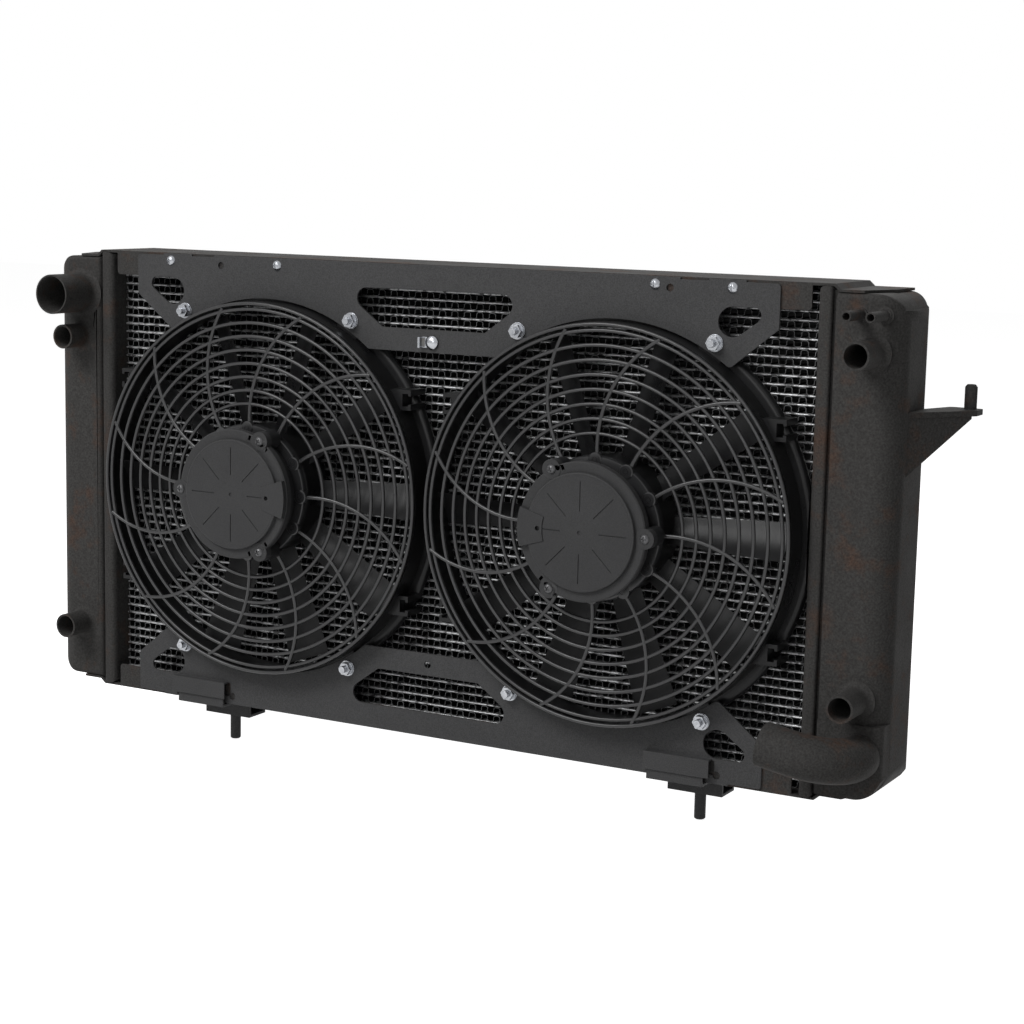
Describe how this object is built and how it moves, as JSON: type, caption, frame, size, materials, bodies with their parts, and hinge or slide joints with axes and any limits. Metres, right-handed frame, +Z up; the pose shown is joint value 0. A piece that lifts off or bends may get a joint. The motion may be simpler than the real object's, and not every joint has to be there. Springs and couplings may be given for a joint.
{
  "type": "vehicle cooling radiator with twin electric fans",
  "caption": "Wide cross-flow vehicle radiator with side tanks, hose and oil cooler ports, mounting pegs and a pair of guarded electric fans on sheet-metal plates.",
  "frame": {"origin": "midway between the two lower pegs, on the brackets' underside that the pegs stand out of", "axes": "+X across the core towards the tank with the elbow, +Y from the fan side to the back, +Z up along the tanks"},
  "size_m": [0.842, 0.1505, 0.4436],
  "materials": {
    "tube_metal": "bright brazed aluminium",
    "fin_metal": "dark satin aluminium",
    "tank_paint": "dark grey matt paint with faint brown mottling",
    "gasket_rubber": "matt black",
    "stud_steel": "satin",
    "plate_powder": "dark grey powder coat",
    "bright_zinc": "bright plated",
    "fan_plastic": "black, lightly glossy",
    "cover_plastic": "dark grey, satin",
    "motor_paint": "black, semi-gloss",
    "dark_screw": "dark plated",
    "magnet_ferrite": "matt",
    "bearing_bronze": "plain sintered bronze",
    "brush_board": "matt brown board",
    "carbon": "matt carbon",
    "armature_iron": "laminated iron"
  },
  "bodies": {
    "radiator": {"core_tubes": "tube_metal", "core_fins": "fin_metal", "header_left": "tank_paint", "header_right": "tank_paint", "gasket_left": "gasket_rubber", "gasket_right": "gasket_rubber", "tank_left": "tank_paint", "tank_right": "tank_paint", "top_rail": "tank_paint", "bottom_rail": "tank_paint", "inlet_pipe": "tank_paint", "vent_nipples": "tank_paint", "outlet_elbow": "tank_paint", "oil_cooler_left": "tank_paint", "oil_cooler_right": "tank_paint", "side_bracket": "tank_paint", "side_stud": "tank_paint", "peg_bracket_left": "plate_powder", "peg_bracket_right": "plate_powder", "lower_peg_left": "plate_powder", "lower_peg_right": "plate_powder", "upper_fan_plate": "plate_powder", "lower_fan_plate": "plate_powder", "plate_screws": "bright_zinc", "plate_nuts": "bright_zinc", "cable_clip": "fan_plastic", "fan_bolts": "bright_zinc", "fan_nuts": "bright_zinc", "fan_washers": "bright_zinc", "left_fan_housing": "fan_plastic", "left_fan_guard": "fan_plastic", "left_motor_case": "motor_paint", "left_motor_cover": "cover_plastic", "left_cover_screws": "dark_screw", "left_connector_cover": "cover_plastic", "left_magnets": "magnet_ferrite", "left_front_bearing": "bearing_bronze", "left_rear_bearing": "bearing_bronze", "left_brush_holder": "brush_board", "left_brushes": "carbon", "right_fan_housing": "fan_plastic", "right_fan_guard": "fan_plastic", "right_motor_case": "motor_paint", "right_motor_cover": "cover_plastic", "right_cover_screws": "dark_screw", "right_connector_cover": "cover_plastic", "right_magnets": "magnet_ferrite", "right_front_bearing": "bearing_bronze", "right_rear_bearing": "bearing_bronze", "right_brush_holder": "brush_board", "right_brushes": "carbon"},
    "left_rotor": {"left_impeller": "fan_plastic", "left_shaft": "stud_steel", "left_armature": "armature_iron"},
    "right_rotor": {"right_impeller": "fan_plastic", "right_shaft": "stud_steel", "right_armature": "armature_iron"}
  },
  "joints": [
    {"name": "left_fan_spin", "type": "hinge", "parent": "radiator", "child": "left_rotor", "pos_m": [-0.1664, -0.0485, 0.2199], "axis": [0, 1, 0], "continuous": true},
    {"name": "right_fan_spin", "type": "hinge", "parent": "radiator", "child": "right_rotor", "pos_m": [0.1664, -0.0485, 0.2199], "axis": [0, 1, 0], "continuous": true}
  ]
}
